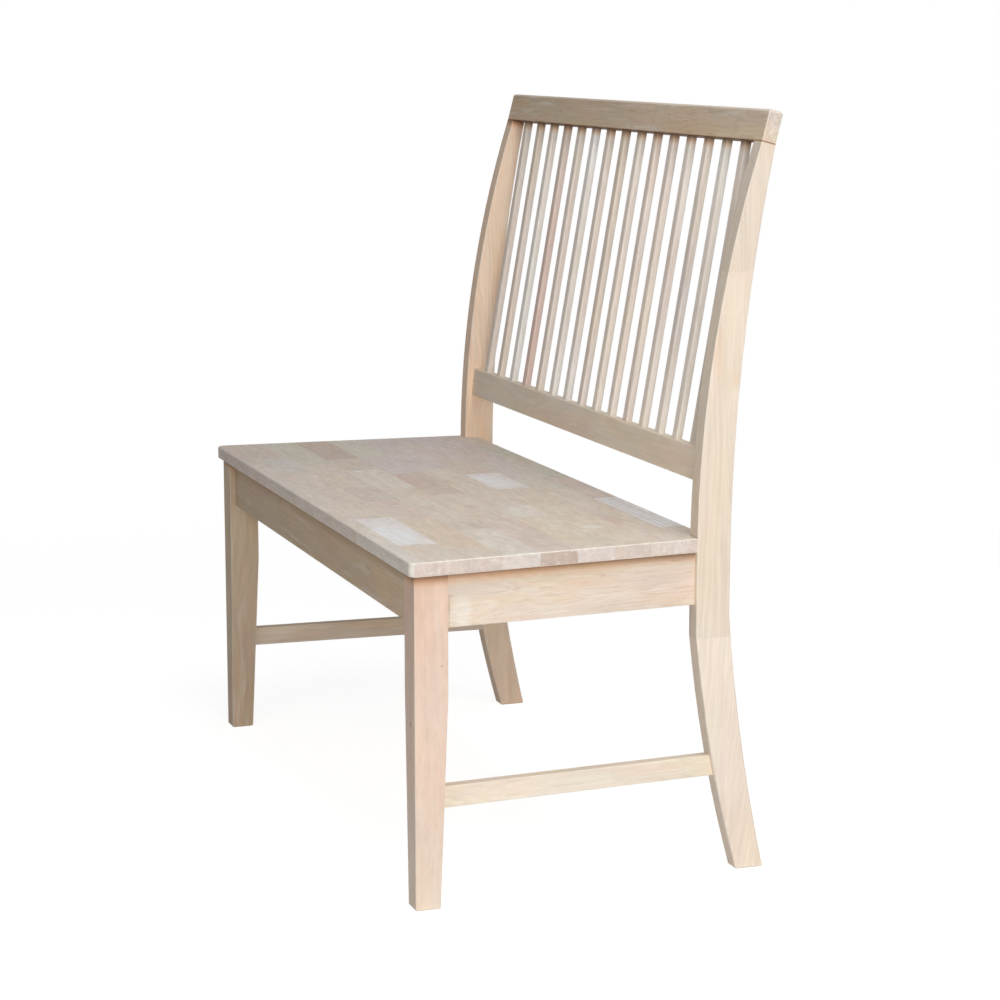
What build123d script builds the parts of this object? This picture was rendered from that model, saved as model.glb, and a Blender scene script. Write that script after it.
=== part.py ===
from build123d import *
import os
from math import atan2, cos, degrees, hypot, radians, sin, sqrt

# Wooden settle with a plank seat and a slatted back, in millimetres.
# While it is made, z = 0 is the floor, y = 0 the front face of the front legs, +Y the rear,
# and x = 0 the middle of the bench, with +X on the right of someone who looks at its front.
# Right-hand pieces are made first, and left-hand ones are their mirror images.

# Whole bench
seat_height = 457.0
leg_spread = 988.0
side_taper = 18.5
post_setback = 395.3
back_height = 513.6
back_lean_run = 82.9

# Seat panel, glued up from staves that run along the bench
seat_thickness = 19.0
seat_front_overhang = 8.0
seat_side_overhang = 10.0
seat_rear_reach = 22.0
seat_corner_radius = 11.0
seat_edge_radius = 2.5
seat_notch_gap = 0.4
stave_width = 52.4
first_stave_width = 21.1

# Front legs, tapered on their inner faces
leg_width = 42.0
leg_depth = 45.5
leg_foot_width = 31.0
leg_foot_depth = 34.3
leg_taper_drop = 86.0
leg_edge_radius = 2.0
foot_ease = 2.0

# Rear posts, each in one curved piece, with heights given as drops below the seat's top
post_width = 25.0
post_depth = 47.7
post_foot_rake = 62.7
post_foot_depth = 39.9
post_top_depth = 20.7
post_front_knee_drop = 132.0
post_rear_knee_drop = 107.0
post_front_bow = 7.4
post_rear_bow = 6.6
back_front_start_drop = 17.0
back_rear_start_drop = 32.0
post_edge_radius = 1.5

# Aprons
apron_height = 71.0
apron_thickness = 18.0
front_apron_inset = 9.0
side_apron_inset = 8.0
apron_edge_radius = 1.0

# Side stretchers
stretcher_bottom_height = 132.2
stretcher_height = 28.4
stretcher_thickness = 16.5
stretcher_inset = 6.5
stretcher_edge_radius = 1.5

# Lower back rail
back_rail_seat_gap = 70.0
back_rail_inset = 9.2
back_rail_height = 43.2
back_rail_thickness = 18.0
back_rail_lean = 4.8
back_rail_edge_radius = 1.5

# Crest rail
crest_height = 42.2
crest_thickness = 20.0
crest_lean = 14.6
crest_top_radius = 4.5
crest_edge_radius = 1.5

# Slats
slat_count = 15
slat_width = 16.0
slat_thickness = 10.0
slat_edge_radius = 3.0
slat_end_gap = 36.5
slat_rear_shift = 1.0
slat_housing_depth = 10.0
slat_fit = 0.15

# Tenons and their mortises; the side ones are cut to shares of the post's width
tenon_length = 18.0
tenon_end_gap = 1.0
side_tenon_inset_share = 0.42
side_tenon_thickness_share = 0.36
apron_tenon_thickness = 9.0
apron_tenon_shoulder = 6.0
stretcher_tenon_shoulder = 4.2
back_rail_tenon_length = 14.0
back_rail_tenon_thickness = 9.0
back_rail_tenon_height = 30.0
rear_apron_tenon_length = 14.0

# Corner blocks and centre brace under the seat
block_leg_gap = 5.4
block_face_width = 37.0
block_height = 45.0
brace_width = 40.0
brace_height = 22.0
brace_tenon_length = 8.0
brace_tenon_width = 28.0
brace_tenon_height = 12.0
brace_screw_shares = (0.28, 0.72)

# Dowels between posts and crest rail
dowel_radius = 4.0
dowel_length = 50.0
dowel_wall = 2.5

# Wood screws
screw_shank_radius = 2.0
screw_head_radius = 4.0
screw_head_height = 2.6
screw_tip_length = 4.0
screw_recess_width = 1.0
screw_recess_length = 4.4
screw_recess_depth = 1.4
screw_bite_share = 0.65
pilot_overrun = 1.0
block_screw_seat_depth = 10.0
block_counterbore_depth = 12.0
brace_counterbore_depth = 4.0
counterbore_clearance = 0.6
round_fit = 0.1
cut_overrun = 5.0

# Places that follow from the sizes above
seat_bottom = seat_height - seat_thickness
apron_bottom = seat_bottom - apron_height
leg_outer = leg_spread / 2
leg_inner = leg_outer - leg_width
leg_taper_height = apron_bottom - leg_taper_drop
post_outer = leg_outer - side_taper
post_inner = post_outer - post_width
post_back = post_setback + post_depth
seat_front = -seat_front_overhang
seat_rear = post_setback + seat_rear_reach
rear_apron_back = post_setback + apron_thickness
front_apron_back = front_apron_inset + apron_thickness
side_slope = side_taper / (post_setback - leg_depth)
side_stretch = hypot(1, side_slope)
side_tenon_inset = post_width * side_tenon_inset_share
side_tenon_thickness = post_width * side_tenon_thickness_share
apron_tenon_height = (apron_height - 3 * apron_tenon_shoulder) / 2
side_tenon_bottom = apron_bottom + apron_tenon_shoulder
rear_tenon_bottom = seat_bottom - apron_tenon_shoulder - apron_tenon_height
post_front_knee_height = seat_height - post_front_knee_drop
crest_bottom_height = seat_height + back_height
crest_front = post_setback + back_lean_run
back_rail_bottom_height = seat_height + back_rail_seat_gap

nodes = {}


def mirrored(shape):
    return mirror(shape, about=Plane.YZ)


def block_between(low, high):
    """Box from its lowest corner to its highest one."""
    size = [b - a for a, b in zip(low, high)]
    return Pos(*low) * Box(*size, align=(Align.MIN, Align.MIN, Align.MIN))


def leaning_plane(y, z, lean):
    """Plane with x along the bench, y through a board's thickness and z up its face."""
    up = (0, sin(radians(lean)), cos(radians(lean)))
    return Plane(origin=(0, y, z), x_dir=(1, 0, 0), z_dir=up)


def on_lean(y, z, lean, through, up):
    """Y and Z of a point on a leaning board, from its lower front edge."""
    turn = radians(lean)
    return y + through * cos(turn) + up * sin(turn), z - through * sin(turn) + up * cos(turn)


def side_line(y):
    """Distance from the middle to the line of the bench's side at a given depth."""
    return leg_outer - side_slope * (y - leg_depth)


def side_board(inset, thickness, y_range, z_range):
    """Board along the right-hand side, with its ends square to the bench."""
    offsets = (inset, inset + thickness * side_stretch)
    corners = [
        (side_line(y_range[0]) - offsets[0], y_range[0]),
        (side_line(y_range[1]) - offsets[0], y_range[1]),
        (side_line(y_range[1]) - offsets[1], y_range[1]),
        (side_line(y_range[0]) - offsets[1], y_range[0]),
    ]
    outline = make_face(Polyline(*corners, close=True))
    return Pos(0, 0, z_range[0]) * extrude(outline, amount=z_range[1] - z_range[0])


def bowed_arc(foot, knee, bow):
    """Arc from the foot up to the knee, bowed towards the front."""
    run = hypot(knee[0] - foot[0], knee[1] - foot[1])
    middle = ((foot[0] + knee[0]) / 2, (foot[1] + knee[1]) / 2)
    across = ((foot[1] - knee[1]) / run, (knee[0] - foot[0]) / run)
    crown = (middle[0] + bow * across[0], middle[1] + bow * across[1])
    return ThreePointArc(foot, crown, knee)


def back_line(start_y, drop, run, height):
    """Depth, at a height, of an arc that starts upright and has leaned back by run at the crest."""
    full_rise = back_height + drop
    radius = (full_rise**2 + run**2) / (2 * run)
    rise = height - (seat_height - drop)
    return start_y + radius - sqrt(radius**2 - rise**2)


def back_arc(start_y, drop, run, top_z):
    start_z = seat_height - drop
    middle_z = (start_z + top_z) / 2
    middle = (back_line(start_y, drop, run, middle_z), middle_z)
    top = (back_line(start_y, drop, run, top_z), top_z)
    return ThreePointArc((start_y, start_z), middle, top)


back_rail_front = back_rail_inset + back_line(
    post_setback, back_front_start_drop, back_lean_run, back_rail_bottom_height
)


def leg_section(height, ease):
    """Section of the right-hand leg, from its outer front corner inwards, eased all round."""
    share = min(height / leg_taper_height, 1)
    width = leg_foot_width + (leg_width - leg_foot_width) * share
    depth = leg_foot_depth + (leg_depth - leg_foot_depth) * share
    section = RectangleRounded(width - 2 * ease, depth - 2 * ease, leg_edge_radius)
    return Pos(leg_outer - width / 2, depth / 2, height) * section


def leg_blank():
    """Front leg before its mortises are cut."""
    top = leg_section(leg_taper_height, 0)
    upper = extrude(top, amount=seat_bottom - leg_taper_height)
    tapered = loft([leg_section(0, foot_ease), leg_section(foot_ease, 0), top], ruled=True)
    return tapered + upper


def post_stock(low_x, width):
    """The rear post's curved outline, from the foot to just above the crest rail's lower face."""
    top = crest_bottom_height + cut_overrun
    rear_run = back_lean_run + post_top_depth - post_depth
    front_foot = (post_setback + post_foot_rake, 0)
    rear_foot = (front_foot[0] + post_foot_depth, 0)
    front_knee = (post_setback, post_front_knee_height)
    rear_knee = (post_back, seat_height - post_rear_knee_drop)
    front_back = back_arc(post_setback, back_front_start_drop, back_lean_run, top)
    rear_back = back_arc(post_back, back_rear_start_drop, rear_run, top)
    outline = [
        bowed_arc(front_foot, front_knee, post_front_bow),
        Line(front_knee, front_back @ 0),
        front_back,
        Line(front_back @ 1, rear_back @ 1),
        rear_back,
        Line(rear_back @ 0, rear_knee),
        bowed_arc(rear_foot, rear_knee, post_rear_bow),
        Line(rear_foot, front_foot),
    ]
    face = Plane.YZ * make_face(Curve() + outline)
    return Pos(low_x, 0, 0) * extrude(face, amount=width)


def post_blank():
    """Rear post before its mortises are cut."""
    blank = post_stock(post_inner, post_width)
    crest_base = leaning_plane(crest_front, crest_bottom_height, crest_lean)
    blank = split(blank, bisect_by=crest_base, keep=Keep.BOTTOM)
    blank = chamfer(blank.edges().group_by(Axis.Z)[0], foot_ease)
    long_edges = [e for e in blank.edges() if e.length > post_width + post_depth]
    return fillet(long_edges, post_edge_radius)


def leg_back_at(height):
    """Depth of the tapered leg at a height."""
    taper = max(0, leg_taper_height - height) / leg_taper_height
    return leg_depth - (leg_depth - leg_foot_depth) * taper


def post_front_at(height):
    """Front face of the raked foot at a height below the knee."""
    share = height / post_front_knee_height
    return post_setback + post_foot_rake * (1 - share) - 4 * post_front_bow * share * (1 - share)


def side_apron():
    apron = side_board(
        side_apron_inset, apron_thickness, (leg_depth, post_setback), (apron_bottom, seat_bottom)
    )
    lower = apron.edges().filter_by(lambda e: abs(e.center().Z - apron_bottom) < apron_edge_radius)
    long_edges = [e for e in lower if e.length > leg_width + leg_depth]
    return fillet(long_edges, apron_edge_radius) + side_apron_tenon(0)


def side_apron_tenon(end_gap):
    """Tenon through the side apron, out at both ends; the gap lengthens it for its mortises."""
    reach = tenon_length + end_gap
    return side_board(
        side_tenon_inset, side_tenon_thickness, (leg_depth - reach, post_setback + reach),
        (side_tenon_bottom, side_tenon_bottom + apron_tenon_height),
    )


def side_stretcher(leg):
    """Stretcher with shoulders that follow the leg's taper and the post's curve."""
    top = stretcher_bottom_height + stretcher_height
    board = side_board(
        stretcher_inset, stretcher_thickness, (leg_depth / 2, post_back),
        (stretcher_bottom_height, top),
    )
    past_shoulder = post_stock(post_inner - post_width, 2 * post_width)
    long_edges = [e for e in board.edges() if e.length > leg_width + leg_depth]
    board = fillet(long_edges, stretcher_edge_radius) - leg - past_shoulder
    return board + side_stretcher_tenon(0)


def side_stretcher_tenon(end_gap):
    low = stretcher_bottom_height + stretcher_tenon_shoulder
    high = stretcher_bottom_height + stretcher_height - stretcher_tenon_shoulder
    middle = (low + high) / 2
    reach = tenon_length + end_gap
    return side_board(
        side_tenon_inset, side_tenon_thickness,
        (leg_back_at(middle) - reach, post_front_at(middle) + reach), (low, high),
    )


def lower_long_edges(board):
    lowest = board.edges().group_by(Axis.Z)[0]
    return [e for e in lowest if e.length > leg_spread / 2]


def front_apron():
    apron = block_between(
        (-leg_inner, front_apron_inset, apron_bottom), (leg_inner, front_apron_back, seat_bottom)
    )
    return fillet(lower_long_edges(apron), apron_edge_radius) + front_apron_tenon(0)


def front_apron_tenon(end_gap):
    reach = leg_inner + tenon_length + end_gap
    cheek = (apron_thickness - apron_tenon_thickness) / 2
    return block_between(
        (-reach, front_apron_inset + cheek, apron_bottom + apron_tenon_shoulder),
        (reach, front_apron_back - cheek, seat_bottom - apron_tenon_shoulder),
    )


def rear_apron():
    apron = block_between(
        (-post_inner, post_setback, apron_bottom), (post_inner, rear_apron_back, seat_bottom)
    )
    return fillet(lower_long_edges(apron), apron_edge_radius) + rear_apron_tenon(0)


def rear_apron_tenon(end_gap):
    """Tenon above the side apron's one, so that both fit in the post."""
    reach = post_inner + rear_apron_tenon_length + end_gap
    cheek = (apron_thickness - apron_tenon_thickness) / 2
    return block_between(
        (-reach, post_setback + cheek, rear_tenon_bottom),
        (reach, rear_apron_back - cheek, rear_tenon_bottom + apron_tenon_height),
    )


def board_on(plane, size, edge_radius):
    """Leaning board from its lower front edge, with its long edges rounded."""
    board = Box(*size, align=(Align.CENTER, Align.MIN, Align.MIN))
    long_edges = board.edges().filter_by(Axis.X)
    return plane * fillet(long_edges, edge_radius)


def back_rail():
    plane = leaning_plane(back_rail_front, back_rail_bottom_height, back_rail_lean)
    size = (2 * post_inner, back_rail_thickness, back_rail_height)
    return board_on(plane, size, back_rail_edge_radius) + back_rail_tenon(0)


def back_rail_tenon(end_gap):
    y, z = on_lean(
        back_rail_front, back_rail_bottom_height, back_rail_lean,
        (back_rail_thickness - back_rail_tenon_thickness) / 2,
        (back_rail_height - back_rail_tenon_height) / 2,
    )
    length = 2 * (post_inner + back_rail_tenon_length + end_gap)
    tenon = Box(
        length, back_rail_tenon_thickness, back_rail_tenon_height,
        align=(Align.CENTER, Align.MIN, Align.MIN),
    )
    return leaning_plane(y, z, back_rail_lean) * tenon


def crest_rail():
    board = Box(
        2 * post_outer, crest_thickness, crest_height, align=(Align.CENTER, Align.MIN, Align.MIN)
    )
    board = fillet(board.edges().group_by(Axis.Z)[-1], crest_top_radius)
    sides = board.faces().filter_by(Axis.X)
    board = fillet(sides.edges().filter_by(Axis.Z), crest_edge_radius)
    return leaning_plane(crest_front, crest_bottom_height, crest_lean) * board


def slat_line():
    """Lower and upper ends of the slats' centre line, as Y and Z, just behind the rails' middles."""
    foot = on_lean(
        back_rail_front, back_rail_bottom_height, back_rail_lean,
        back_rail_thickness / 2 + slat_rear_shift, back_rail_height,
    )
    head = on_lean(
        crest_front, crest_bottom_height, crest_lean, crest_thickness / 2 + slat_rear_shift, 0
    )
    return foot, head


def slat(place, fit, end_gap):
    """Straight slat, housed in both rails; fit and end gap enlarge it into its housings."""
    foot, head = slat_line()
    lean = degrees(atan2(head[0] - foot[0], head[1] - foot[1]))
    reach = slat_housing_depth + end_gap
    length = hypot(head[0] - foot[0], head[1] - foot[1]) + 2 * reach
    section = RectangleRounded(slat_width + 2 * fit, slat_thickness + 2 * fit, slat_edge_radius + fit)
    bar = Pos(0, 0, -reach) * extrude(section, amount=length)
    return Pos(place, 0, 0) * (leaning_plane(foot[0], foot[1], lean) * bar)


def slat_places():
    outermost = post_inner - slat_end_gap - slat_width / 2
    pitch = 2 * outermost / (slat_count - 1)
    return [number * pitch - outermost for number in range(slat_count)]


def crest_dowels(fit, end_gap):
    """Four dowels up the lean, two from each post's top into the crest rail."""
    plane = leaning_plane(crest_front, crest_bottom_height, crest_lean)
    inset = dowel_wall + dowel_radius
    right = [post_inner + inset, post_outer - inset]
    places = right + [-x for x in right]
    pin = Cylinder(dowel_radius + fit, dowel_length + 2 * end_gap)
    return [plane * Pos(x, crest_thickness / 2, 0) * pin for x in places]


def seat_panel():
    """The whole panel, with its rear corners notched round the posts."""
    front_x = leg_outer + seat_side_overhang
    notch_x = post_inner - seat_notch_gap
    notch_y = post_setback - seat_notch_gap
    right = [(front_x, seat_front), (post_outer, notch_y), (notch_x, notch_y), (notch_x, seat_rear)]
    left = [(-x, y) for x, y in reversed(right)]
    outline = make_face(Polyline(*right, *left, close=True))
    panel = Pos(0, 0, seat_bottom) * extrude(outline, amount=seat_thickness)
    front_corners = panel.edges().filter_by(Axis.Z).group_by(Axis.Y)[0]
    panel = fillet(front_corners, seat_corner_radius)
    level = [e for e in panel.edges() if e.length > apron_height]
    return fillet(level, seat_edge_radius)


def seat_staves(panel):
    """The panel cut along its glue lines, from the front."""
    lines = [seat_front, seat_front + first_stave_width]
    while lines[-1] + stave_width < seat_rear:
        lines.append(lines[-1] + stave_width)
    lines.append(seat_rear)
    reach = leg_outer + seat_side_overhang + cut_overrun
    low, high = seat_bottom - cut_overrun, seat_height + cut_overrun
    slabs = [block_between((-reach, a, low), (reach, b, high)) for a, b in zip(lines, lines[1:])]
    return [panel & slab for slab in slabs]


def frame_corner(front):
    """Inner corner of the apron frame, the way along the side apron from it, and the way out."""
    y = front_apron_back if front else post_setback
    x = side_line(y) - side_apron_inset - apron_thickness * side_stretch
    along = Vector(-side_slope, 1).normalized()
    return Vector(x, y), along if front else -along, Vector(1, side_slope).normalized()


leg_corner = frame_corner(True)[0]
block_clear_reach = leg_corner.X - leg_inner + leg_depth - leg_corner.Y + block_leg_gap
block_full_reach = block_clear_reach + block_face_width


def corner_block(front):
    """Block across a corner of the apron frame, clear of the corner itself."""
    corner, along, _ = frame_corner(front)
    inward = Vector(-1, 0)
    points = [
        corner + inward * block_clear_reach, corner + inward * block_full_reach,
        corner + along * block_full_reach, corner + along * block_clear_reach,
    ]
    outline = make_face(Polyline(*[(p.X, p.Y) for p in points], close=True))
    return Pos(0, 0, seat_bottom - block_height) * extrude(outline, amount=block_height)


def screw(length):
    """Pan-head screw with its head seated at the origin and its shank pointing down."""
    half_head = (screw_head_radius / 2, screw_head_height)
    profile = Polyline(
        (0, -length), (screw_shank_radius, screw_tip_length - length), (screw_shank_radius, 0),
        (screw_head_radius, 0), (screw_head_radius, screw_head_height / 2), half_head,
        (0, screw_head_height), close=True,
    )
    solid = revolve(Plane.XZ * make_face(profile), axis=Axis.Z)
    slot = Box(screw_recess_length, screw_recess_width, 2 * screw_recess_depth)
    cross = slot + Rot(0, 0, 90) * slot
    return solid - Pos(0, 0, screw_head_height) * cross


def screw_hole(length, counterbore):
    """Hole for a screw, with room for its head up to the counterbore's length."""
    shank = Cylinder(
        screw_shank_radius + round_fit, length + pilot_overrun,
        align=(Align.CENTER, Align.CENTER, Align.MAX),
    )
    head = Cylinder(
        screw_head_radius + counterbore_clearance, counterbore,
        align=(Align.CENTER, Align.CENTER, Align.MIN),
    )
    return shank + head


def driven(at, drive):
    """Plane whose z points back out of the wood, against the way a screw is driven."""
    return Plane(origin=at, z_dir=-drive)


def corner_screws(front):
    """Right-hand corner's screws: into the cross apron, the side apron and the seat."""
    corner, along, outward = frame_corner(front)
    inward = Vector(-1, 0)
    cross_drive = Vector(0, -1) if front else Vector(0, 1)
    station = (block_clear_reach + block_full_reach) / 2
    middle = seat_bottom - block_height / 2
    cross_seat = corner + inward * station - cross_drive * block_screw_seat_depth
    side_seat = corner + along * station - outward * block_screw_seat_depth
    centre = corner + (inward + along) * (station / 2)
    up_z = seat_bottom - block_height + block_counterbore_depth
    return {
        "cross": driven(Vector(cross_seat.X, cross_seat.Y, middle), cross_drive),
        "side": driven(Vector(side_seat.X, side_seat.Y, middle), outward),
        "seat": driven(Vector(centre.X, centre.Y, up_z), Vector(0, 0, 1)),
    }


def centre_brace():
    """Brace from apron to apron under the middle of the seat."""
    bar = block_between(
        (-brace_width / 2, front_apron_back, seat_bottom - brace_height),
        (brace_width / 2, post_setback, seat_bottom),
    )
    return bar + centre_brace_tenon(0)


def centre_brace_tenon(end_gap):
    middle = seat_bottom - brace_height / 2
    reach = brace_tenon_length + end_gap
    return block_between(
        (-brace_tenon_width / 2, front_apron_back - reach, middle - brace_tenon_height / 2),
        (brace_tenon_width / 2, post_setback + reach, middle + brace_tenon_height / 2),
    )


def brace_screws():
    length = post_setback - front_apron_back
    z = seat_bottom - brace_height + brace_counterbore_depth
    places = [front_apron_back + share * length for share in brace_screw_shares]
    return [driven(Vector(0, y, z), Vector(0, 0, 1)) for y in places]


def cut(shape, tools):
    for tool in tools:
        shape = shape - tool
    return shape


def both(shape):
    """A right-hand tool or piece, and its mirror image."""
    return [shape, mirrored(shape)]


block_screw_length = block_screw_seat_depth + apron_thickness * screw_bite_share
seat_bite = seat_thickness * screw_bite_share
seat_screw_length = block_height - block_counterbore_depth + seat_bite
brace_screw_length = brace_height - brace_counterbore_depth + seat_bite


def add_pair(name, piece):
    nodes[f"{name}_right"] = piece
    nodes[f"{name}_left"] = mirrored(piece)


def make_legs_and_sides(front_screws, rear_screws):
    leg, post = leg_blank(), post_blank()
    add_pair("side_stretcher", side_stretcher(leg))
    side_holes = [at * screw_hole(block_screw_length, block_full_reach)
                  for at in (front_screws["side"], rear_screws["side"])]
    add_pair("side_apron", cut(side_apron(), side_holes))
    side_mortises = [side_apron_tenon(tenon_end_gap), side_stretcher_tenon(tenon_end_gap)]
    add_pair("front_leg", cut(leg, side_mortises + [front_apron_tenon(tenon_end_gap)]))
    post_mortises = side_mortises + [rear_apron_tenon(tenon_end_gap), back_rail_tenon(tenon_end_gap)]
    add_pair("rear_post", cut(post, post_mortises + crest_dowels(round_fit, tenon_end_gap)))


def make_cross_rails(front_screws, rear_screws):
    brace_mortise = centre_brace_tenon(tenon_end_gap)
    for name, apron, screws in (
        ("front_apron", front_apron(), front_screws),
        ("rear_apron", rear_apron(), rear_screws),
    ):
        hole = screws["cross"] * screw_hole(block_screw_length, block_full_reach)
        nodes[name] = cut(apron, both(hole) + [brace_mortise])
    housings = [slat(place, slat_fit, tenon_end_gap) for place in slat_places()]
    nodes["lower_back_rail"] = cut(back_rail(), housings)
    nodes["crest_rail"] = cut(crest_rail(), housings + crest_dowels(round_fit, tenon_end_gap))


def make_slats():
    for number, place in enumerate(slat_places(), 1):
        nodes[f"back_slat_{number:02d}"] = slat(place, 0, 0)


def make_blocks(name, front, screws):
    tools = [
        screws["cross"] * screw_hole(block_screw_length, block_full_reach),
        screws["side"] * screw_hole(block_screw_length, block_full_reach),
        screws["seat"] * screw_hole(seat_screw_length, block_full_reach),
    ]
    add_pair(name, cut(corner_block(front), tools))


def make_seat(front_screws, rear_screws):
    panel = seat_panel()
    for at in (front_screws["seat"], rear_screws["seat"]):
        panel = cut(panel, both(at * screw_hole(seat_screw_length, screw_head_height)))
    brace = centre_brace()
    for at in brace_screws():
        hole = at * screw_hole(brace_screw_length, block_full_reach)
        panel, brace = panel - at * screw_hole(brace_screw_length, screw_head_height), brace - hole
    for number, stave in enumerate(seat_staves(panel), 1):
        nodes[f"seat_stave_{number:02d}"] = stave
    nodes["centre_brace"] = brace


def make_fasteners(front_screws, rear_screws):
    side_screw, seat_screw = screw(block_screw_length), screw(seat_screw_length)
    planes = [screws[use] for screws in (front_screws, rear_screws) for use in ("cross", "side")]
    nodes["block_screws"] = [copy for at in planes for copy in both(at * side_screw)]
    upright = [front_screws["seat"], rear_screws["seat"]]
    nodes["seat_screws"] = [copy for at in upright for copy in both(at * seat_screw)]
    nodes["brace_screws"] = [at * screw(brace_screw_length) for at in brace_screws()]
    nodes["crest_dowels"] = crest_dowels(0, 0)


def write_nodes():
    """Put the origin under the middle of the bench, on the floor, and write one file a node."""
    shapes = {name: piece if isinstance(piece, list) else [piece] for name, piece in nodes.items()}
    solids = {name: [s for piece in pieces for s in piece.solids()] for name, pieces in shapes.items()}
    box = Compound([solid for group in solids.values() for solid in group]).bounding_box()
    middle = Pos(-(box.min.X + box.max.X) / 2, -(box.min.Y + box.max.Y) / 2, -box.min.Z)
    os.makedirs("parts", exist_ok=True)
    for name, group in solids.items():
        export_step(Compound([middle * solid for solid in group]), f"parts/{name}.step")
    print("box from", box.min, "to", box.max, "nodes", len(nodes))


front_screws, rear_screws = corner_screws(True), corner_screws(False)
make_legs_and_sides(front_screws, rear_screws)
make_cross_rails(front_screws, rear_screws)
make_slats()
make_blocks("front_corner_block", True, front_screws)
make_blocks("rear_corner_block", False, rear_screws)
make_seat(front_screws, rear_screws)
make_fasteners(front_screws, rear_screws)
write_nodes()
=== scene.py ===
from math import cos, pi, radians, sin

import bpy
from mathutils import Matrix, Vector


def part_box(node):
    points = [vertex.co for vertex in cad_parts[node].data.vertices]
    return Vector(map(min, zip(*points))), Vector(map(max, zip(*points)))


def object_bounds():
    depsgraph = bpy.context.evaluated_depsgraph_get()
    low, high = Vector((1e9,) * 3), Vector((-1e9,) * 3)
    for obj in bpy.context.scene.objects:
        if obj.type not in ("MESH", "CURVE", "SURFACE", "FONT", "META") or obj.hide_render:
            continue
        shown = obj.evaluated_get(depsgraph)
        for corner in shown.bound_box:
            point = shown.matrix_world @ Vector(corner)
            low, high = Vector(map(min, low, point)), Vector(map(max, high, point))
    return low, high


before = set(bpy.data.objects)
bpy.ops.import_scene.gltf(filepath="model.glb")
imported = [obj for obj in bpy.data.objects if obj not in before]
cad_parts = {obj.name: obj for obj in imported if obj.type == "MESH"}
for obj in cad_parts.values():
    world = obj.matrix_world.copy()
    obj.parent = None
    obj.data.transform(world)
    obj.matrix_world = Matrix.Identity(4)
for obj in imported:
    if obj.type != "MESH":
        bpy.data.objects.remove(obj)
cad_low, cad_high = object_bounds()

# Bare, sanded hardwood settle. Lengths are in metres and angles in degrees, in the bench's own
# frame: +X to the right of someone who stands before it, -Y the front, +Z up, the floor at z = 0.

# Camera, at the photograph's angle
camera_place = (3.5098, -1.2255, 1.1004)
camera_azimuth = 70.125
camera_elevation = 10.114
camera_lens = 93.27
camera_sensor = 36.0

# Light: three lamps light the sides that the photograph shows, and a low one the back
sky_strength = 0.12
sky_tone = (0.91, 1.0, 1.08, 1.0)
lamps = {
    "side_lamp": {"power": 32.8, "distance": 3.0, "azimuth": 84.0, "elevation": 3.0, "size": 1.3},
    "top_lamp": {"power": 23.6, "distance": 2.3, "azimuth": 100.0, "elevation": 58.0, "size": 1.4},
    "front_lamp": {"power": 6.5, "distance": 2.2, "azimuth": 40.0, "elevation": 32.0, "size": 1.2},
    "rear_lamp": {"power": 9.0, "distance": 2.6, "azimuth": 197.0, "elevation": 5.0, "size": 1.4},
}

# Floor: how far it is lifted towards white, and between which distances it fades into it
floor_tone = (238, 237, 235)
floor_half_width = 12.0
floor_lift = 0.74
floor_glow = 0.42
floor_fade = (0.9, 2.4)

# Marks of the wood: how far each runs along the grain and across it, how finely it breaks up, and
# a shift along the grain that keeps it apart from the others
marks = {
    "sway": (0.40, 0.09, 2.0, 0.0),
    "dip": (0.40, 0.09, 2.0, 31.7),
    "shiver": (0.075, 0.030, 2.0, 8.8),
    "ring_patch": (0.20, 0.020, 2.0, 5.1),
    "streak": (0.15, 0.0032, 2.0, 0.0),
    "fibre": (0.060, 0.0013, 3.0, 0.0),
    "pore": (0.0080, 0.00042, 1.0, 0.0),
    "cloud": (0.050, 0.016, 2.0, 3.3),
    "mottle": (0.016, 0.0065, 3.0, 51.3),
    "rosy_patch": (0.16, 0.036, 2.0, 3.3),
    "straw_patch": (0.19, 0.042, 2.0, 12.3),
    "grey_patch": (0.14, 0.030, 2.0, 41.3),
    "pale_streak": (0.14, 0.009, 2.0, 22.9),
    "fleck": (0.018, 0.0060, 2.0, 61.7),
    "vein": (0.070, 0.0046, 1.0, 71.3),
    "smear": (0.060, 0.0034, 2.0, 83.1),
}

# The value of its noise at which a mark sets in, and the one at which it is full
onsets = {
    "ring_patch": (0.36, 0.62),
    "pore": (0.60, 0.72),
    "rosy_patch": (0.42, 0.72),
    "straw_patch": (0.42, 0.72),
    "grey_patch": (0.42, 0.72),
    "pale_streak": (0.50, 0.76),
    "fleck": (0.58, 0.72),
    "vein": (0.60, 0.70),
    "smear": (0.56, 0.70),
}

# How much each mark darkens the wood or lightens it, and how much light full darkness takes away
streak_dark = 0.34
fibre_dark = 0.30
cloud_dark = 0.16
pore_dark = 0.12
late_ring_dark = 0.17
early_ring_pale = 0.12
ring_pale = 0.02
pale_streak_strength = 0.32
red_loss = 0.58
green_loss = 0.67
blue_loss = 0.75

# Growth rings: their gap, and over which shares of it the late and the early wood come and go
ring_gap = 0.0058
late_rise = (0.40, 0.85)
late_fall = (0.90, 1.0)
early_rise = (0.0, 0.10)
early_fall = (0.15, 0.45)

# The grain's course: how far it sways and shivers off its line, and how ends and arrises set in
sway_reach = 0.060
shiver_reach = 0.013
end_onset = (0.5, 0.75)
arris_onset = (0.11, 0.24)

# Blocks of a stave: how far each block's seed moves its grain, its pith and its slope
seed_stride = 1.7
block_stride = 7.0
block_side_stride = 0.9
block_pith_spread = 0.06
block_slope = 0.11
block_seed_start = 0.11
block_seed_step = 0.37
glue_line = 0.0005

# Stripes on one block of the seat
stripe_gap = 0.0088
stripe_wobble = 0.004
stripe_edge = 0.4
stripe_fade = 0.002

# Spots: how much of one is full, and how deep each kind goes
spot_core = 0.45
spot_depth = 0.010
warm_spot_depth = 0.004
knot_depth = 0.003

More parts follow.
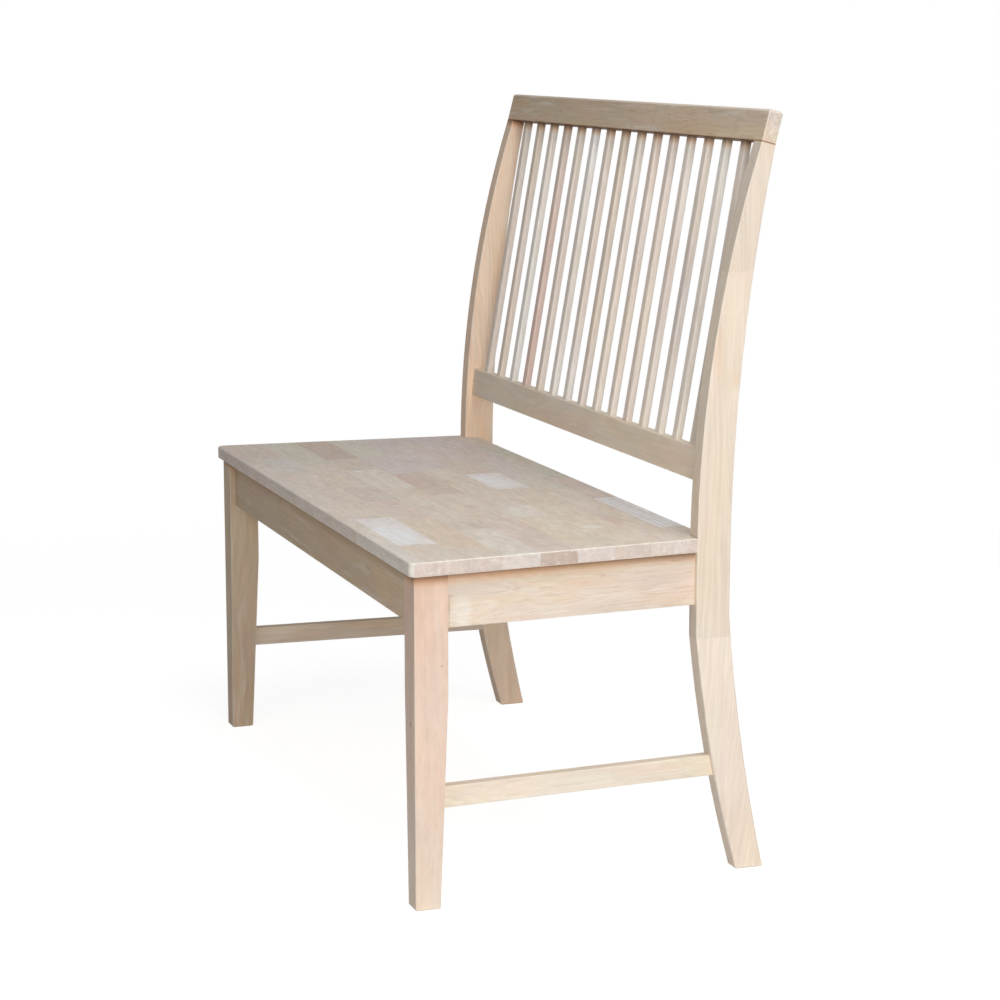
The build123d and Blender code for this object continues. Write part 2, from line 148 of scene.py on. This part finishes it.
# Sheen and touch of sanded wood
wood_roughness = 0.62
fibre_roughness = 0.14
wood_specular = 0.3
fibre_rise = 0.5
streak_rise = 0.3
pore_sink = 0.8
grain_strength = 0.35
grain_height = 0.00012

# Steel of the screws
steel_grain = 900.0
steel_roughness = 0.28
steel_grain_roughness = 0.2

# Frame: how its pieces lean, how far the dark joint line under the crest rail and the painted shade under
# the crest rail and the seat reach, and where the near post's blocks meet.
# The side apron slopes, so its outer face lies a little inside its box.
crest_lean = 14.6
slat_lean = 9.0
crest_seam_reach = 0.0016
crest_shade_reach = 0.0145
side_shade_reach = 0.016
front_shade_reach = 0.026
post_finger_joints = (0.32, 0.80)
apron_face_inset = 0.001
leg_joint_gap = 0.0035

# Seeds and piths, which give each piece a figure of its own
stave_seed_step = 0.61
stave_pith_depth = 0.05
stave_pith_step = 0.015
slat_seed_step = 0.83
frame_seed_start = 3.1
frame_seed_step = 0.77
frame_pieces = [
    "front_leg_right", "front_leg_left", "rear_post_right", "rear_post_left", "front_apron",
    "rear_apron", "side_apron_right", "side_apron_left", "side_stretcher_right",
    "side_stretcher_left", "lower_back_rail", "crest_rail", "front_corner_block_right",
    "front_corner_block_left", "rear_corner_block_right", "rear_corner_block_left",
    "centre_brace", "crest_dowels",
]


def paint(red, green, blue):
    """A colour as a screen shows it, from 0 to 255, turned into light."""
    shares = [value / 255 for value in (red, green, blue)]
    return tuple(s / 12.92 if s <= 0.04045 else ((s + 0.055) / 1.055) ** 2.4 for s in shares) + (1.0,)


# Tones of the wood
tan = paint(236, 216, 192)
pink = paint(238, 211, 192)
rose = paint(231, 199, 178)
sand = paint(240, 221, 203)
peach = paint(252, 223, 195)
apricot = paint(240, 212, 186)
hazel = paint(220, 199, 172)
nutmeg = paint(215, 191, 163)
oat = paint(237, 222, 207)
fog = paint(232, 222, 212)
mauve = paint(232, 218, 211)
moss = paint(230, 221, 205)
dust = paint(230, 214, 200)
nut = paint(226, 205, 190)
hide = paint(218, 197, 181)
shell = paint(236, 217, 203)
wheat = paint(237, 219, 199)
straw = paint(239, 224, 206)
ash = paint(241, 230, 217)
chalk = paint(254, 251, 250)
frost = paint(246, 238, 233)
blush = paint(228, 201, 186)
bone = paint(246, 239, 229)
milk = paint(253, 248, 240)
linen = paint(250, 239, 226)
cotton = paint(247, 233, 219)
petal = paint(243, 228, 216)
clay = paint(235, 209, 197)
knot = paint(160, 118, 86)

# Plain values for masks, and what slow changes do to a tone
white = (1.0, 1.0, 1.0, 1.0)
black = (0.0, 0.0, 0.0, 1.0)
rosy_tint = (1.0, 0.93, 0.92, 1.0)
straw_tint = (1.0, 0.975, 0.89, 1.0)
grey_tint = (0.93, 0.945, 0.965, 1.0)
smear_tint = (0.80, 0.66, 0.52, 1.0)

# Painted shade under the seat and the crest rail, and the thin dark joint line under the crest rail: how it
# passes from the joint outwards, in even steps to white
tight_painted_shade = [
    (0.21, 0.14, 0.09, 1.0), (0.42, 0.30, 0.23, 1.0), (0.69, 0.54, 0.42, 1.0),
    (0.89, 0.77, 0.67, 1.0), (0.99, 0.93, 0.87, 1.0), white,
]
wide_painted_shade = [
    (0.53, 0.46, 0.38, 1.0), (0.60, 0.53, 0.44, 1.0), (0.74, 0.68, 0.60, 1.0),
    (0.85, 0.80, 0.73, 1.0), (0.94, 0.91, 0.88, 1.0), white,
]


class Wire:
    """A value that varies over a surface: sums on it add Math nodes to its finish."""

    def __init__(self, finish, socket):
        self.finish = finish
        self.socket = socket

    def __add__(self, other):
        return self.finish.math("ADD", self, other)

    __radd__ = __add__

    def __sub__(self, other):
        return self.finish.math("SUBTRACT", self, other)

    def __rsub__(self, other):
        return self.finish.math("SUBTRACT", other, self)

    def __mul__(self, other):
        return self.finish.math("MULTIPLY", self, other)

    __rmul__ = __mul__

    def __truediv__(self, other):
        return self.finish.math("DIVIDE", self, other)

    def __abs__(self):
        return self.finish.math("ABSOLUTE", self)


class Finish:
    """The nodes of one material, or of the sky."""

    def __init__(self, owner):
        self.owner = owner
        owner.use_nodes = True
        self.tree = owner.node_tree
        self.tree.nodes.clear()

    def add(self, kind, settings, sockets, out=0):
        """Adds a node, its settings first, then the values or links of its sockets."""
        node = self.tree.nodes.new("ShaderNode" + kind)
        for name, value in settings.items():
            if name == "stops":
                self.set_stops(node.color_ramp, *value)
            else:
                setattr(node, name, value)
        for name, value in sockets.items():
            if isinstance(value, Wire):
                self.tree.links.new(value.socket, node.inputs[name])
            else:
                node.inputs[name].default_value = value
        return Wire(self, node.outputs[out]) if node.outputs else node

    def set_stops(self, colour_ramp, easing, stops):
        """Gives a ramp its stops: all places first, and then the colours."""
        colour_ramp.interpolation = easing
        elements = colour_ramp.elements
        while len(elements) < len(stops):
            elements.new(1.0)
        for element, (place, colour) in zip(elements, stops):
            element.position = place
        for element, (place, colour) in zip(elements, stops):
            element.color = colour

    def ramp(self, value, easing, stops):
        """Colour that follows a value through a list of places and colours."""
        return self.add("ValToRGB", {"stops": (easing, stops)}, {"Fac": value})

    def math(self, operation, *values):
        return self.add("Math", {"operation": operation}, dict(enumerate(values)))

    def vector(self, operation, *values, out=0):
        return self.add("VectorMath", {"operation": operation}, dict(enumerate(values)), out)

    def turned(self, vector, turn):
        settings = {"rotation_type": "EULER_XYZ"}
        return self.add("VectorRotate", settings, {"Vector": vector, "Rotation": turn})

    def split(self, vector):
        """The three numbers of a vector."""
        first = self.add("SeparateXYZ", {}, {"Vector": vector})
        return [Wire(self, output) for output in first.socket.node.outputs]

    def mix(self, factor, first, second, blend="MIX"):
        """Colour between two others."""
        settings = {"data_type": "RGBA", "blend_type": blend}
        return self.add("Mix", settings, {0: factor, 6: first, 7: second}, out=2)

    def step(self, value, low, high):
        """From 0 below the low value to 1 above the high one, smoothly."""
        settings = {"interpolation_type": "SMOOTHSTEP"}
        return self.add("MapRange", settings, {"Value": value, "From Min": low, "From Max": high})

    def band(self, value, rise, fall):
        """1 between a rise and a fall, and 0 outside them."""
        return self.step(value, *rise) * (1 - self.step(value, *fall))

    def mark(self, place, name):
        """One of the wood's marks, as noise of about 0.5 that is drawn out along the grain."""
        along, side, depth = place
        length, width, detail, shift = marks[name]
        sockets = {"X": along / length + shift, "Y": side / width, "Z": depth / width}
        stretched = self.add("CombineXYZ", {}, sockets)
        return self.add("TexNoise", {}, {"Vector": stretched, "Scale": 1.0, "Detail": detail})

    def patches(self, place, name):
        """0 where a mark is missing and 1 where it is full."""
        return self.step(self.mark(place, name), *onsets[name])

    def surface(self, sockets):
        shader = self.add("BsdfPrincipled", {}, sockets)
        self.add("OutputMaterial", {}, {"Surface": shader})
        return self.owner


def new_finish(name):
    return Finish(bpy.data.materials.new(name))


def turn_to_grain(axis, lean):
    """Turn that lays the grain of a piece along X."""
    if axis == "X":
        return (0.0, 0.0, 0.0)
    if axis == "Y":
        return (0.0, 0.0, -pi / 2)
    return (radians(lean), pi / 2, 0.0)


def middle_of(node):
    low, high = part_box(node)
    return [(a + b) / 2 for a, b in zip(low, high)]


def length_of(node, axis):
    low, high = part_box(node)
    place = "XYZ".index(axis)
    return high[place] - low[place]


def wood(node, axis, tones, seed, pith=(0.05, 0.12), lean=0.0, block_ends=(), end_tone=None,
         seams=(), spots=(), stripes=None, figure=0.35, lines=1.0, clouds=1.0, drift=1.0,
         flecks=0.0, veins=0.0, smears=0.0, mottle=0.0, flow=1.0, arris_wear_and_highlight=0.45, glue=0.16):
    """Wood of one piece, with its grain along an axis and its rings round a pith of its own.

    Several tones pass slowly into each other from the low end, or fill the blocks that end at the
    block ends. The values from figure on say how strongly the rings, the lines, the clouds, the slow
    changes of tone, the other marks, the grain's bends, the pale arrises and the glue lines show; the
    pale arrises are partly sanded wear and partly a painted highlight.
    """
    f = new_finish(node + "_wood")
    point = f.add("TexCoord", {}, {}, out="Object")
    facing = f.add("TexCoord", {}, {}, out="Normal")
    turn = turn_to_grain(axis, lean)
    along, side, depth = f.split(f.turned(f.vector("SUBTRACT", point, middle_of(node)), turn))
    end_face, arris = ends_and_arrises(f, f.turned(facing, turn))

    # Each block has a seed, which moves its grain and gives it a pith and a slope of its own
    length = length_of(node, axis)
    straight_along, straight_side = along + seed * seed_stride, side
    joint, pith_side, slope = 0.0, pith[0], 0.0
    if block_ends:
        colour, block_seed, joint = block_ramps(f, along, length, block_ends, tones)
        straight_along = straight_along + block_seed * block_stride
        straight_side = side + block_seed * block_side_stride
        pith_side = pith[0] + (block_seed - 0.5) * block_pith_spread
        slope = (block_seed - 0.5) * block_slope * along
    elif len(tones) > 1:
        colour = f.ramp(along / length + 0.5, "EASE", even_stops(tones))
    else:
        colour = tones[0]

    # The grain's course along the piece
    straight = (straight_along, straight_side, depth)
    shiver = f.mark(straight, "shiver") - 0.5
    sway = f.mark(straight, "sway") - 0.5
    dip = f.mark(straight, "dip") - 0.5
    bend = flow * (sway * sway_reach + shiver * shiver_reach) + slope
    place = (straight_along, straight_side + bend, depth)

    # Everything that darkens the wood
    streak = f.mark(place, "streak")
    fibre = f.mark(place, "fibre")
    cloud = f.mark(place, "cloud")
    pores = f.patches(place, "pore")
    rings = growth_rings(f, place, side + bend - pith_side, depth - pith[1] + flow * dip * sway_reach)
    dark = lines * (streak_dark * (0.5 - streak) + fibre_dark * (0.5 - fibre))
    dark = dark + clouds * cloud_dark * (0.5 - cloud) + figure * rings + pore_dark * pores + joint * glue
    if mottle:
        dark = dark + mottle * (0.5 - f.mark(place, "mottle"))

    # The tone and what changes it
    if end_tone:
        colour = f.mix(end_face, colour, end_tone)
    changes = [
        ("rosy_patch", drift, rosy_tint, "MULTIPLY"),
        ("straw_patch", drift, straw_tint, "MULTIPLY"),
        ("grey_patch", drift, grey_tint, "MULTIPLY"),
        ("pale_streak", drift * pale_streak_strength, bone, "MIX"),
        ("fleck", flecks, bone, "MIX"),
        ("vein", veins, bone, "MIX"),
        ("smear", smears, smear_tint, "MULTIPLY"),
    ]
    for name, strength, stain, blend in changes:
        if strength:
            colour = f.mix(f.patches(place, name) * strength, colour, stain, blend)
    if stripes:
        colour = lay_stripes(f, colour, along, side + shiver * stripe_wobble, *stripes)
    for spot in spots:
        colour = lay_spot(f, colour, point, cloud - 0.5, *spot)
    # Paler arrises: partly sanded wear and partly a painted highlight
    colour = f.mix(arris * arris_wear_and_highlight, colour, bone)
    kept = {"Red": 1 - red_loss * dark, "Green": 1 - green_loss * dark, "Blue": 1 - blue_loss * dark}
    colour = f.mix(1.0, colour, f.add("CombineColor", {}, kept), "MULTIPLY")
    # Dark joint lines, and painted shade under the seat and the crest rail
    for seam in seams:
        colour = lay_joint_darkening(f, colour, point, *seam)

    height = fibre * fibre_rise + streak * streak_rise - pores * pore_sink
    relief = {"Strength": grain_strength, "Distance": grain_height, "Height": height}
    return f.surface({
        "Base Color": colour,
        "Roughness": wood_roughness + fibre_roughness * (fibre - 0.5),
        "Specular IOR Level": wood_specular,
        "Normal": f.add("Bump", {}, relief),
    })


def ends_and_arrises(f, facing):
    """How far a point is on an end of the piece, and how far on an arris."""
    x, y, z = [part * part for part in f.split(facing)]
    return f.step(x, *end_onset), f.step(x * y + y * z + z * x, *arris_onset)


def even_stops(tones):
    return [(index / (len(tones) - 1), tone) for index, tone in enumerate(tones)]


def block_ramps(f, along, length, ends, tones):
    """Tone, seed and glue lines of the blocks that a piece is made of, from its low end."""
    share = along / length + 0.5
    places = [0.0] + [end / length + 0.5 for end in ends]
    seeds = [(block_seed_start + index * block_seed_step) % 1.0 for index in range(len(places))]
    greys = [(seed, seed, seed, 1.0) for seed in seeds]
    reach = glue_line / length
    lines = []
    for place in places[1:]:
        lines += [(place - reach, black), (place, white), (place + reach, black)]
    tone = f.ramp(share, "CONSTANT", list(zip(places, tones)))
    seed = f.ramp(share, "CONSTANT", list(zip(places, greys)))
    return tone, seed, f.ramp(share, "LINEAR", lines)


def growth_rings(f, place, across, through):
    """How much the growth rings darken the wood, from their distance to the pith."""
    radius = f.math("SQRT", across * across + through * through)
    phase = f.math("FRACT", radius / ring_gap)
    late = f.band(phase, late_rise, late_fall)
    early = f.band(phase, early_rise, early_fall)
    return f.patches(place, "ring_patch") * (late_ring_dark * late - early_ring_pale * early - ring_pale)


def lay_stripes(f, colour, along, side, start, end, stain):
    """Stripes along the grain, on one stretch of a piece."""
    rise = (start - stripe_fade, start + stripe_fade)
    fall = (end - stripe_fade, end + stripe_fade)
    wave = f.math("SINE", side * (2 * pi / stripe_gap))
    share = f.band(along, rise, fall) * f.step(wave, -stripe_edge, stripe_edge)
    return f.mix(share, colour, stain)


def lay_spot(f, colour, point, ragged, middle, reach, stain, strength):
    """A soft spot with a ragged edge, laid over a colour."""
    offset = f.vector("DIVIDE", f.vector("SUBTRACT", point, middle), reach)
    edge = f.vector("LENGTH", offset, out="Value") + ragged
    return f.mix((1 - f.step(edge, spot_core, 1.0)) * strength, colour, stain)


def lay_joint_darkening(f, colour, point, heading, through, reach, tints):
    """Darkening at a joint, which fades with the distance from the joint's plane: a thin dark joint line
    with a short reach, and painted shade with a longer one.
    """
    offset = f.vector("DOT_PRODUCT", f.vector("SUBTRACT", point, through), heading, out="Value")
    shade = f.ramp(abs(offset) / reach, "LINEAR", even_stops(tints))
    return f.mix(1.0, colour, shade, "MULTIPLY")


def dress(node, material):
    """Puts a finish on a piece that came with the frame."""
    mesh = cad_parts[node].data
    mesh.materials.clear()
    mesh.materials.append(material)


def dress_piece(name, axis, tones, pith, **more):
    """Puts wood on one of the frame's pieces, seeded by its place in their list."""
    seed = frame_seed_start + frame_seed_step * frame_pieces.index(name)
    dress(name, wood(name, axis, tones, seed, pith, **more))


def on_seat(x, y, half_length, half_width, stain, strength):
    """A spot on the seat's top: its middle, how far it reaches, its tone and how strong it is."""
    seat_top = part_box("seat_stave_05")[1][2]
    return (x, y, seat_top), (half_length, half_width, spot_depth), stain, strength


def on_right(name, y, z, half_width, half_height, stain, strength, depth, inset=0.0):
    """A spot on the right-hand face of a piece, given in the same way."""
    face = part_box(name)[1][0] - inset
    return (face, y, z), (depth, half_width, half_height), stain, strength


def on_front(name, x, z, half_width, half_height, stain, strength, depth):
    """A spot on the front face of a piece, given in the same way."""
    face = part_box(name)[0][1]
    return (x, face, z), (half_width, depth, half_height), stain, strength


def crest_plane(reach):
    """Joint under the crest rail: its plane's heading, a point in it, and the reach and tints of the
    darkening there, a thin dark joint line with a short reach and painted shade with a longer one.
    """
    lean = radians(crest_lean)
    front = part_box("crest_rail")[0][1]
    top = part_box("rear_post_right")[1][2]
    return (0.0, sin(lean), cos(lean)), (0.0, front, top), reach, tight_painted_shade


def seat_underside(reach, tints):
    """Painted shade under the seat, given in the same order."""
    return (0.0, 0.0, 1.0), (0.0, 0.0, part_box("seat_stave_01")[0][2]), reach, tints


def dress_seat():
    """Staves from the front to the rear, each of short blocks with tones of their own.

    A layout says how far from the middle the blocks end, and gives their tones from the left and
    the tone of the end grain.
    """
    layouts = [
        ([-0.300, -0.020, 0.270], [dust, oat, oat, ash], paint(221, 204, 194)),
        ([-0.352, -0.201, 0.190, 0.389], [dust, fog, oat, frost, oat], paint(221, 204, 193)),
        ([-0.273, -0.050, 0.069, 0.220, 0.427], [moss, oat, dust, shell, wheat, oat], paint(216, 199, 188)),
        ([-0.306, -0.201, -0.023, 0.253, 0.312], [hide, dust, ash, oat, dust, ash], paint(223, 211, 202)),
        ([-0.312, -0.148, 0.049, 0.253], [moss, mauve, nut, oat, shell], paint(200, 180, 167)),
        ([-0.174, 0.056, 0.167, 0.259], [mauve, oat, oat, ash, straw], paint(226, 212, 204)),
        ([-0.253, -0.109, 0.033, 0.161], [mauve, dust, frost, oat, straw], paint(220, 203, 191)),
        ([-0.207, -0.050, 0.056], [mauve, fog, moss, oat], paint(228, 214, 204)),
        ([-0.352, -0.041, 0.148, 0.384], [oat, moss, shell, frost, oat], paint(225, 206, 196)),
    ]
    third_glue_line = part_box("seat_stave_03")[1][1]
    spots = {
        2: [
            on_seat(0.315, -0.222, 0.095, 0.040, chalk, 0.9),
            on_seat(0.3895, -0.216, 0.0016, 0.022, knot, 0.5),
        ],
        3: [on_seat(-0.109, third_glue_line, 0.080, 0.0022, bone, 0.9)],
        4: [
            on_seat(-0.109, third_glue_line, 0.080, 0.0022, bone, 0.9),
            on_seat(-0.185, -0.116, 0.013, 0.010, bone, 0.9),
            on_seat(-0.092, -0.106, 0.007, 0.010, bone, 0.6),
            on_seat(0.283, -0.100, 0.018, 0.011, nut, 0.6),
            on_seat(-0.424, -0.103, 0.022, 0.018, hazel, 0.5),
        ],
        6: [on_seat(-0.050, -0.021, 0.024, 0.008, hazel, 0.6)],
        7: [
            on_seat(0.351, 0.044, 0.020, 0.018, bone, 0.8),
            on_seat(-0.035, 0.044, 0.075, 0.036, chalk, 0.9),
        ],
        8: [on_seat(0.312, 0.091, 0.036, 0.018, blush, 0.6)],
    }

    # The pale block near the right end of the rearmost stave is striped
    start, end = layouts[8][0][-2:]
    stripes = {9: (start, end, chalk)}

    staves = sorted(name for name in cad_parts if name.startswith("seat_stave"))
    for number, (name, (ends, tones, end_tone)) in enumerate(zip(staves, layouts), 1):
        pith = (0.0, stave_pith_depth + stave_pith_step * (number % 3))
        dress(name, wood(
            name, "X", tones, number * stave_seed_step, pith, block_ends=ends, end_tone=end_tone,
            spots=spots.get(number, ()), stripes=stripes.get(number), lines=0.6, clouds=2.0,
            mottle=0.55, drift=0.5, flecks=0.4, arris_wear_and_highlight=0.85,
        ))


def dress_slats():
    """Slats from the left to the right, each with its tones from the foot to the head."""
    tones = [
        [cotton, petal, ash], [cotton, petal, straw], [milk, milk, linen], [clay, clay, shell],
        [cotton, petal, cotton], [milk, ash, chalk], [milk, petal, cotton], [petal, oat, wheat],
        [linen, cotton, linen], [linen, petal, petal], [petal, cotton, petal], [linen, petal, linen],
        [linen, fog, cotton], [linen, linen, milk], [oat, cotton, cotton],
    ]
    for number, slat_tones in enumerate(tones, 1):
        name = f"back_slat_{number:02d}"
        # Each slat's head gets the painted shade under the crest rail
        dress(name, wood(
            name, "Z", slat_tones, number * slat_seed_step, (0.02, 0.05), slat_lean,
            seams=[crest_plane(crest_shade_reach)], lines=1.3, drift=0.5, arris_wear_and_highlight=0.1,
        ))


def dress_legs():
    # Painted shade under the seat, at the top of both front legs
    seat = seat_underside(side_shade_reach, tight_painted_shade)
    name = "front_leg_right"
    knots = [
        on_right(name, -0.213, 0.320, 0.0030, 0.0022, knot, 0.35, depth=knot_depth),
        on_front(name, 0.477, 0.243, 0.0035, 0.0055, knot, 0.5, depth=knot_depth),
    ]
    dress_piece(
        name, "Z", [sand, pink, rose], (0.05, -0.03), seams=[seat], spots=knots, lines=0.4,
        clouds=1.5, mottle=0.25, figure=0.12, drift=0.5, flow=0.6,
    )
    dress_piece("front_leg_left", "Z", [nutmeg], (0.04, 0.05), seams=[seat])


def dress_posts():
    """The right post is finger-jointed from three blocks, and the left one is drawn in one."""
    seam = crest_plane(crest_seam_reach)
    name = "rear_post_right"
    joints = [height - middle_of(name)[2] for height in post_finger_joints]
    block_tones = [paint(247, 230, 213), paint(237, 221, 202), paint(229, 213, 195)]
    warm_spots = [
        on_right(name, 0.196, 0.664, 0.007, 0.014, apricot, 0.5, depth=warm_spot_depth),
        on_right(name, 0.170, 0.700, 0.016, 0.040, apricot, 0.5, depth=warm_spot_depth),
    ]
    dress_piece(
        name, "Z", block_tones, (0.02, 0.05), block_ends=joints, seams=[seam], spots=warm_spots,
        flow=0.6, drift=0.5, glue=0.04,
    )
    # Painted shade under the crest rail, on the left post
    shade = crest_plane(crest_shade_reach)
    dress_piece("rear_post_left", "Z", [peach], (0.03, -0.06), seams=[seam, shade])


def dress_aprons():
    # Painted shade under the seat, down the front apron
    front_painted_shade = seat_underside(front_shade_reach, wide_painted_shade)
    front_tones = [paint(210, 185, 157), paint(212, 186, 156), paint(224, 199, 170)]
    dress_piece("front_apron", "X", front_tones, (0.01, 0.09), seams=[front_painted_shade], figure=0.6)
    dress_piece("rear_apron", "X", [tan], (0.01, 0.07))

    # Painted shade under the seat, along the top of the side aprons
    side_painted_shade = seat_underside(side_shade_reach, tight_painted_shade)
    name = "side_apron_right"
    leg_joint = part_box("front_leg_right")[1][1] + leg_joint_gap
    spots = [
        (-0.183, 0.386, 0.017, 0.026, bone, 0.5, spot_depth),
        # A warm band along the apron's top under the seat: partly the wood's peach tone and partly painted
        # warm shade under the seat
        (-0.020, 0.436, 0.230, 0.022, apricot, 0.8, spot_depth),
        (0.118, 0.400, 0.026, 0.030, pink, 0.3, spot_depth),
        (-0.198, 0.408, 0.0035, 0.0024, knot, 0.15, knot_depth),
        (leg_joint, 0.388, 0.0012, 0.026, knot, 0.4, spot_depth),
    ]
    dress_piece(
        name, "Y", [paint(236, 218, 200)], (0.012, 0.050), seams=[side_painted_shade],
        spots=[on_right(name, *spot, inset=apron_face_inset) for spot in spots],
        figure=0.3, lines=0.6, veins=0.35, smears=0.4, flow=1.6,
    )
    dress_piece("side_apron_left", "Y", [tan], (0.03, 0.02), seams=[side_painted_shade])


def dress_rails():
    """The stretchers, the lower back rail and the crest rail."""
    dress_piece("side_stretcher_right", "Y", [paint(245, 231, 212)], (0.05, 0.02))
    dress_piece("side_stretcher_left", "Y", [tan], (0.05, 0.03))
    dress_piece("lower_back_rail", "X", [paint(249, 233, 213)], (0.06, 0.04))

    name = "crest_rail"
    tones = [paint(220, 197, 168), hazel, paint(223, 204, 181)]
    small_knot = on_right(name, 0.247, 0.992, 0.0028, 0.0028, knot, 0.2, depth=knot_depth)
    dress_piece(
        name, "X", tones, (0.08, 0.05), end_tone=paint(219, 203, 190), spots=[small_knot],
        seams=[crest_plane(crest_seam_reach)], figure=0.6, drift=1.2, smears=0.5,
    )


def dress_hidden_pieces():
    for name in frame_pieces:
        if "corner_block" in name or name == "crest_dowels":
            dress_piece(name, "Z", [tan], (0.05, 0.05))
    dress_piece("centre_brace", "Y", [tan], (0.05, 0.05))


def screw_steel():
    f = new_finish("screw_steel")
    point = f.add("TexCoord", {}, {}, out="Object")
    grain = f.add("TexNoise", {}, {"Vector": point, "Scale": steel_grain, "Detail": 3.0})
    colour = f.mix(grain, paint(176, 178, 178), paint(206, 206, 200))
    roughness = steel_roughness + steel_grain_roughness * grain
    return f.surface({"Base Color": colour, "Metallic": 1.0, "Roughness": roughness})


def dress_screws():
    steel = screw_steel()
    for name in ("block_screws", "brace_screws", "seat_screws"):
        dress(name, steel)


def looked_at(f):
    """1 for what the camera sees straight or in a mirror, and 0 for the light that things throw."""
    path = f.add("LightPath", {}, {}).socket.node.outputs
    rays = [Wire(f, path[name]) for name in ("Is Camera Ray", "Is Glossy Ray", "Is Transmission Ray")]
    return f.math("MAXIMUM", f.math("MAXIMUM", rays[0], rays[1]), rays[2])


def make_floor():
    """Pale floor that keeps the bench's shadow and fades into the white behind it."""
    f = new_finish("floor_finish")
    point = f.add("TexCoord", {}, {}, out="Object")
    fade = f.step(f.vector("LENGTH", point, out="Value"), *floor_fade)
    seen = looked_at(f)
    matte = f.add("BsdfDiffuse", {}, {"Color": paint(*floor_tone)})
    lift = f.add("Emission", {}, {"Color": white, "Strength": seen * floor_lift})
    lit = f.add("AddShader", {}, {0: matte, 1: lift})
    blank = f.add("Emission", {}, {"Color": white, "Strength": 1.0})
    share = seen * (floor_glow + (1 - floor_glow) * fade)
    both = f.add("MixShader", {}, {0: share, 1: lit, 2: blank})
    f.add("OutputMaterial", {}, {"Surface": both})
    w = floor_half_width
    mesh = bpy.data.meshes.new("floor")
    mesh.from_pydata([(-w, -w, 0), (w, -w, 0), (w, w, 0), (-w, w, 0)], [], [(0, 1, 2, 3)])
    mesh.materials.append(f.owner)
    floor = bpy.data.objects.new("floor", mesh)
    bpy.context.collection.objects.link(floor)


def make_sky():
    """White where it is looked at, and a dimmer, slightly cool light on everything else."""
    world = bpy.data.worlds.new("studio")
    bpy.context.scene.world = world
    f = Finish(world)
    seen = looked_at(f)
    light = f.add("Background", {}, {
        "Color": f.mix(seen, sky_tone, white),
        "Strength": sky_strength + (1 - sky_strength) * seen,
    })
    f.add("OutputWorld", {}, {"Surface": light})


def direction(azimuth, elevation):
    """From the bench towards a lamp or the camera: azimuth 0 is the front, 90 the right."""
    a, e = radians(azimuth), radians(elevation)
    return Vector((sin(a) * cos(e), -cos(a) * cos(e), sin(e)))


def set_up(thing, place, back):
    """Puts a lamp or camera in its place, with its back turned in the given direction."""
    thing.location = place
    thing.rotation_mode = "QUATERNION"
    thing.rotation_quaternion = (-back).to_track_quat("-Z", "Y")
    bpy.context.collection.objects.link(thing)


def make_lamp(name, power, distance, azimuth, elevation, size):
    """A large soft lamp, turned to the middle of the bench."""
    data = bpy.data.lights.new(name, "AREA")
    data.shape = "SQUARE"
    data.size = size
    data.energy = power
    aim = (Vector(cad_low) + Vector(cad_high)) / 2
    out = direction(azimuth, elevation)
    set_up(bpy.data.objects.new(name, data), aim + out * distance, out)


def make_camera():
    data = bpy.data.cameras.new("camera")
    data.sensor_width = camera_sensor
    data.lens = camera_lens
    camera = bpy.data.objects.new("camera", data)
    set_up(camera, camera_place, direction(camera_azimuth, camera_elevation))
    bpy.context.scene.camera = camera


dress_seat()
dress_slats()
dress_legs()
dress_posts()
dress_aprons()
dress_rails()
dress_hidden_pieces()
dress_screws()
make_floor()
make_sky()
for name, lamp in lamps.items():
    make_lamp(name, **lamp)
make_camera()
bpy.context.scene.view_settings.view_transform = "Standard"
